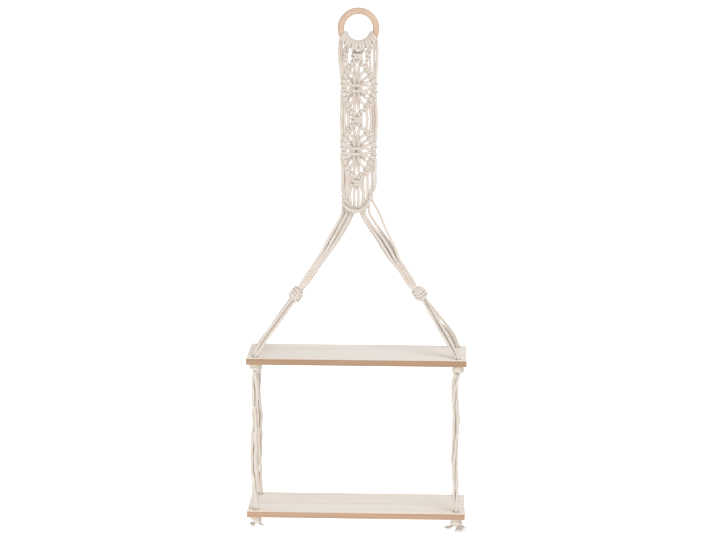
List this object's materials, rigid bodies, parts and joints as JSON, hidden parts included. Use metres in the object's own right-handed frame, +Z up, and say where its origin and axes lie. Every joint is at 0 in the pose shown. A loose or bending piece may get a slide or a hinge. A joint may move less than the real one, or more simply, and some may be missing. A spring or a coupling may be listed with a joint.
{
  "type": "hanging rope shelf",
  "caption": "Two narrow wooden boards hung one below the other on cotton cords, with a knotted cord band and a wooden ring to hang it by.",
  "frame": {"origin": "top of the ring's hole, where the hook or nail carries the shelf", "axes": "+Z up along the hanging cords, +X to the right along the boards, -Y towards the viewer, +Y towards the wall"},
  "size_m": [0.4, 0.13, 0.9582],
  "materials": {
    "ring_beech": "bare sanded light beech",
    "cotton_cord": "undyed twisted cotton, matt",
    "board_wood": "whitewashed faces with bare tan edges, matt"
  },
  "bodies": {
    "ring": {"hanging_ring": "ring_beech", "larks_head_1": "cotton_cord", "larks_head_2": "cotton_cord", "larks_head_3": "cotton_cord", "larks_head_4": "cotton_cord", "larks_head_5": "cotton_cord", "larks_head_6": "cotton_cord"},
    "band": {"top_knot_left": "cotton_cord", "top_knot_centre": "cotton_cord", "top_knot_right": "cotton_cord", "upper_side_cords_left": "cotton_cord", "upper_side_cords_right": "cotton_cord", "upper_diamond_left_border": "cotton_cord", "upper_diamond_right_border": "cotton_cord", "upper_diamond_centre_knot": "cotton_cord", "mid_knot": "cotton_cord", "mid_side_cords_left": "cotton_cord", "mid_side_cords_right": "cotton_cord", "lower_diamond_left_border": "cotton_cord", "lower_diamond_right_border": "cotton_cord", "lower_diamond_centre_knot": "cotton_cord", "low_knot": "cotton_cord", "low_side_cords_left": "cotton_cord", "low_side_cords_right": "cotton_cord", "gather_hitches_left": "cotton_cord", "gather_hitches_right": "cotton_cord", "gather_wrap_cord": "cotton_cord", "gather_knot": "cotton_cord"},
    "legs": {"leg_left_front": "cotton_cord", "leg_left_back": "cotton_cord", "leg_right_front": "cotton_cord", "leg_right_back": "cotton_cord", "side_knot_left": "cotton_cord", "side_knot_right": "cotton_cord"},
    "upper_shelf": {"stay_left_front": "cotton_cord", "stay_left_back": "cotton_cord", "stay_right_front": "cotton_cord", "stay_right_back": "cotton_cord", "upper_board": "board_wood", "upper_stop_knot_left_front": "cotton_cord", "upper_stop_knot_left_back": "cotton_cord", "upper_stop_knot_right_front": "cotton_cord", "upper_stop_knot_right_back": "cotton_cord"},
    "front_drops": {"drop_cord_left_front": "cotton_cord", "drop_cord_right_front": "cotton_cord"},
    "back_drops": {"drop_cord_left_back": "cotton_cord", "drop_cord_right_back": "cotton_cord"},
    "lower_shelf": {"lower_board": "board_wood", "lower_stop_knot_left_front": "cotton_cord", "lower_stop_knot_left_back": "cotton_cord", "lower_stop_knot_right_front": "cotton_cord", "lower_stop_knot_right_back": "cotton_cord", "tail_left_front": "cotton_cord", "tail_left_back": "cotton_cord", "tail_right_front": "cotton_cord", "tail_right_back": "cotton_cord"}
  },
  "joints": [
    {"name": "band_swing", "type": "hinge", "parent": "ring", "child": "band", "pos_m": [0, 0, -0.075], "axis": [1, 0, 0], "range_deg": [-30, 30]},
    {"name": "legs_swing", "type": "hinge", "parent": "band", "child": "legs", "pos_m": [0, 0, -0.3533], "axis": [1, 0, 0], "range_deg": [-30, 30]},
    {"name": "shelf_swing", "type": "hinge", "parent": "legs", "child": "upper_shelf", "pos_m": [0, 0, -0.5093], "axis": [1, 0, 0], "range_deg": [-30, 30]},
    {"name": "front_drop_swing", "type": "hinge", "parent": "upper_shelf", "child": "front_drops", "pos_m": [0, -0.05, -0.649], "axis": [1, 0, 0], "range_deg": [-20, 20]},
    {"name": "back_drop_swing", "type": "hinge", "parent": "upper_shelf", "child": "back_drops", "pos_m": [0, 0.05, -0.649], "axis": [1, 0, 0], "range_deg": [-20, 20]},
    {"name": "lower_shelf_level", "type": "hinge", "parent": "front_drops", "child": "lower_shelf", "pos_m": [0, -0.05, -0.8999], "axis": [1, 0, 0], "range_deg": [-20, 20]}
  ],
  "couplings": [
    {"joint": "back_drop_swing", "follows": "front_drop_swing", "ratio": 1},
    {"joint": "lower_shelf_level", "follows": "front_drop_swing", "ratio": -1}
  ]
}
